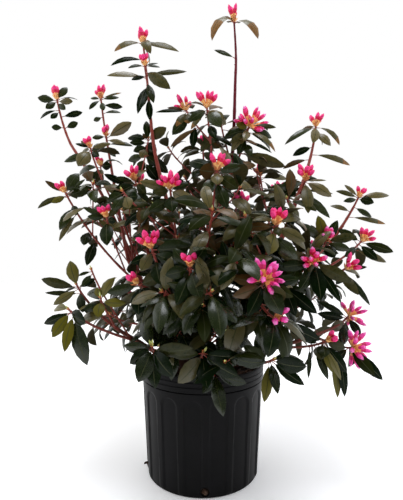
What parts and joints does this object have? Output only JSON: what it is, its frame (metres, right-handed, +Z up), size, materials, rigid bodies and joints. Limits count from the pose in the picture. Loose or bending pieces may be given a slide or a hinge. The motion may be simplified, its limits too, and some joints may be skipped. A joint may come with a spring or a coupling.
{
  "type": "potted rhododendron",
  "caption": "Young evergreen rhododendron with pink flower buds, open branching and drooping leaves, in a round fluted nursery pot with a stepped rim.",
  "frame": {"origin": "middle of the pot's flat underside", "axes": "+Z up along the pot's axis, -Y to the front of the plant, +X to the right seen from the front"},
  "size_m": [0.908, 0.7147, 1.1508],
  "materials": {
    "pot": "black moulded plastic, satin",
    "soil": "damp shredded bark mix",
    "bark": "red-brown young bark",
    "foliage": "dark green glossy leaves, pink buds"
  },
  "bodies": {
    "root": {"back_centre": "foliage", "back_high_left": "foliage", "back_high_right": "foliage", "back_left_out": "foliage", "back_left_stem": "bark", "back_low": "foliage", "back_low_left": "foliage", "back_low_right": "foliage", "back_mid_left": "foliage", "back_mid_right": "foliage", "back_right_out": "foliage", "back_right_stem": "bark", "back_stem": "bark", "back_top": "foliage", "centre": "foliage", "centre_back": "foliage", "centre_left": "foliage", "far_left": "foliage", "far_left_bough": "bark", "front_big": "foliage", "front_centre": "foliage", "front_left": "foliage", "front_right": "foliage", "front_right_stem": "bark", "front_stem": "bark", "inner_left": "foliage", "inner_right": "foliage", "left_centre_stem": "bark", "left_outer": "foliage", "left_side_low": "foliage", "left_spire": "foliage", "left_spire_bough": "bark", "left_stem": "bark", "left_top": "foliage", "left_top_bough": "bark", "left_upper": "foliage", "low_front": "foliage", "low_front_right": "foliage", "low_left_front": "foliage", "low_left_high": "foliage", "low_left_out": "foliage", "low_left_stem": "bark", "low_right": "foliage", "low_right_out": "foliage", "low_right_stem": "bark", "pot": "pot", "right_centre_stem": "bark", "right_mid": "foliage", "right_mid_top": "foliage", "right_outer": "foliage", "right_outer_top": "foliage", "right_stem": "bark", "right_top": "foliage", "soil": "soil", "spire": "foliage", "spire_stem": "bark", "top_pair": "foliage", "top_right": "foliage", "top_right_back": "foliage", "upper_left": "foliage"}
  },
  "joints": []
}
